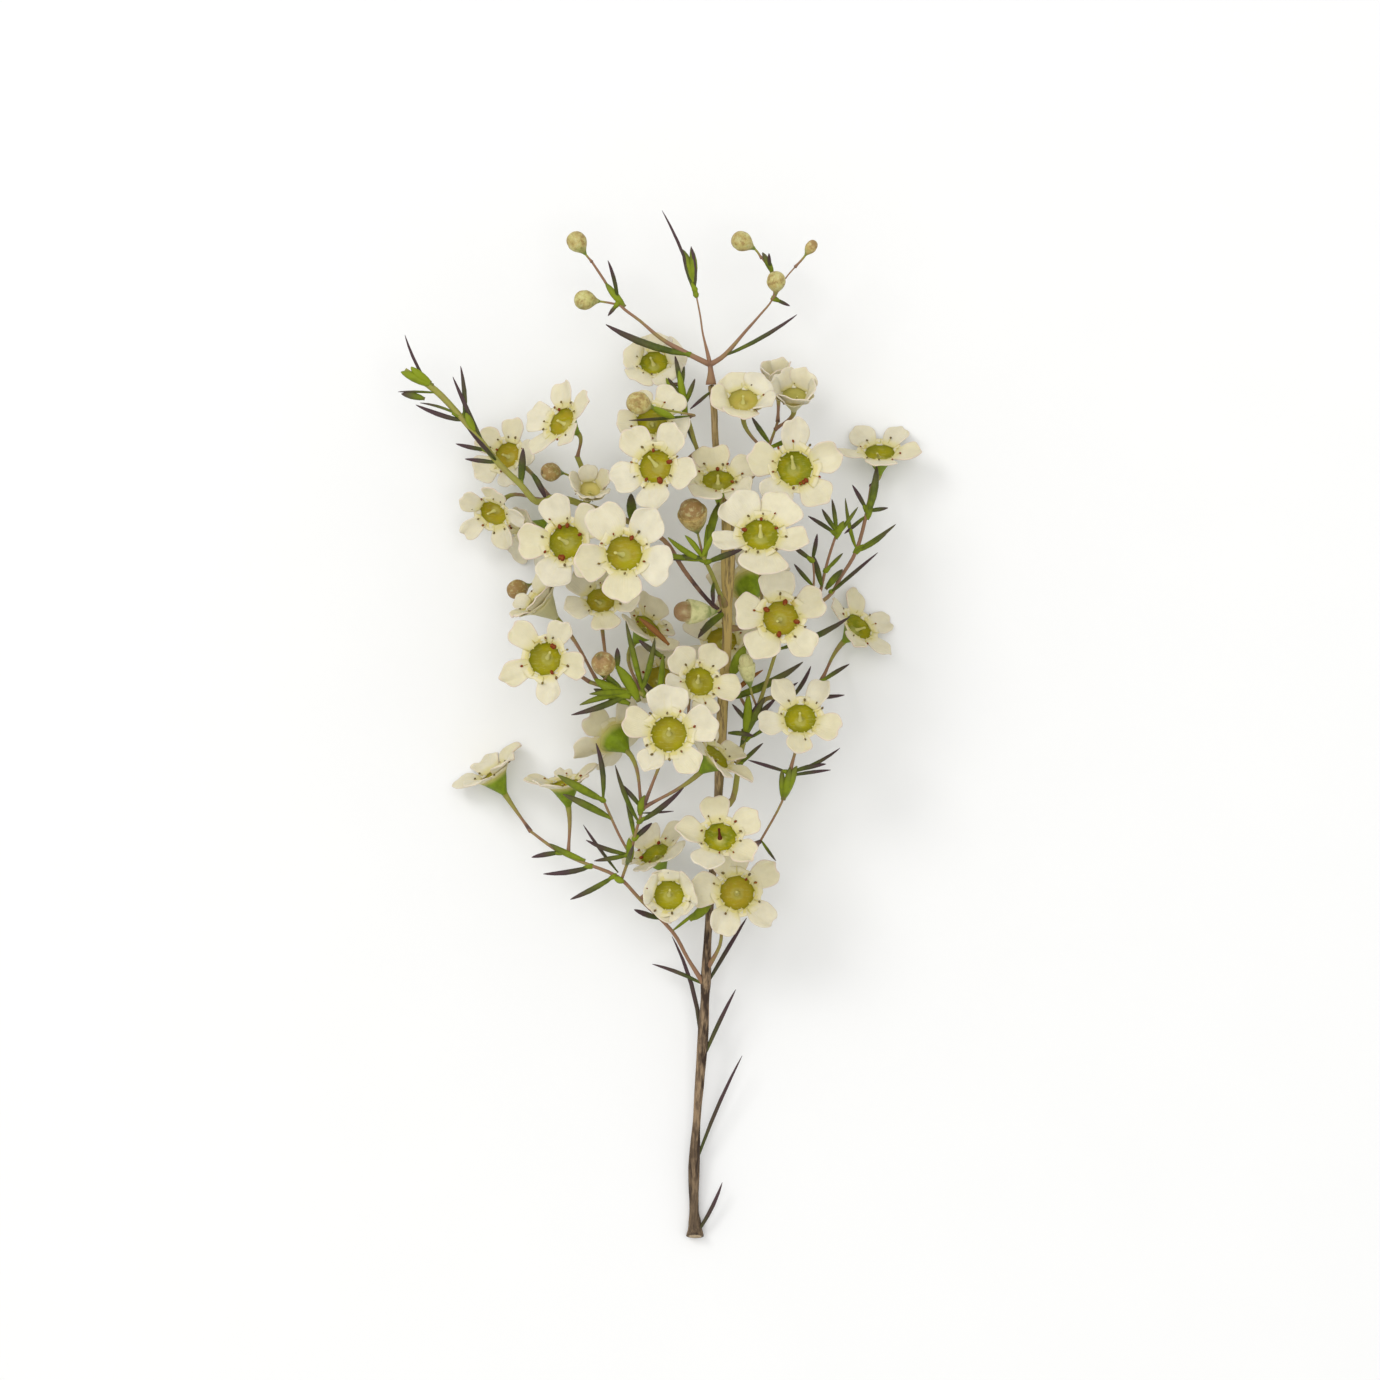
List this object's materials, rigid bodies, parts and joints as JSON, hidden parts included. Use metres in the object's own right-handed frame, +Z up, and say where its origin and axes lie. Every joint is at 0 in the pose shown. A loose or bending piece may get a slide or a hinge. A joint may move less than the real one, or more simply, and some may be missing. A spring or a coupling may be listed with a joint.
{
  "type": "cut waxflower spray",
  "caption": "Cut spray of waxflower lying down: a woody stem, fine needle-leaved twigs, small open white blooms with rounded petals, and round buds.",
  "frame": {"origin": "on the surface that the spray lies on, under the middle of its outline seen from above", "axes": "+Y along the spray from its cut end to its tip, +X to the right of the picture, +Z up, the side that the picture shows"},
  "size_m": [0.1055, 0.2066, 0.0494],
  "materials": {
    "petals": "matte",
    "greens": "satin",
    "bark": "matte",
    "buds": "satin"
  },
  "bodies": {
    "root": {"bloom_01": "petals", "bloom_02": "petals", "bloom_03": "petals", "bloom_04": "petals", "bloom_05": "petals", "bloom_06": "petals", "bloom_07": "petals", "bloom_08": "petals", "bloom_09": "petals", "bloom_10": "petals", "bloom_11": "petals", "bloom_12": "petals", "bloom_13": "petals", "bloom_14": "petals", "bloom_15": "petals", "bloom_16": "petals", "bloom_17": "petals", "bloom_18": "petals", "bloom_19": "petals", "bloom_20": "petals", "bloom_21": "petals", "bloom_22": "petals", "bloom_23": "petals", "bloom_24": "petals", "bloom_25": "petals", "bloom_26": "petals", "bloom_27": "petals", "bloom_28": "petals", "bloom_29": "petals", "bloom_30": "petals", "bloom_31": "petals", "bloom_32": "petals", "bloom_33": "petals", "bloom_34": "petals", "bloom_35": "petals", "bloom_36": "petals", "bloom_37": "petals", "bud_A": "buds", "bud_B": "buds", "bud_C": "buds", "bud_D": "buds", "bud_E": "buds", "bud_F": "buds", "bud_G": "buds", "bud_H": "buds", "bud_I": "buds", "bud_J": "buds", "bud_K": "buds", "bud_L": "buds", "main_stem": "bark", "twig_centre": "greens", "twig_centre_left": "greens", "twig_left": "greens", "twig_lower_left": "greens", "twig_lower_right": "greens", "twig_right": "greens", "twig_side": "greens", "twig_top": "greens", "twig_upper_centre": "greens", "twig_upper_right": "greens"}
  },
  "joints": []
}
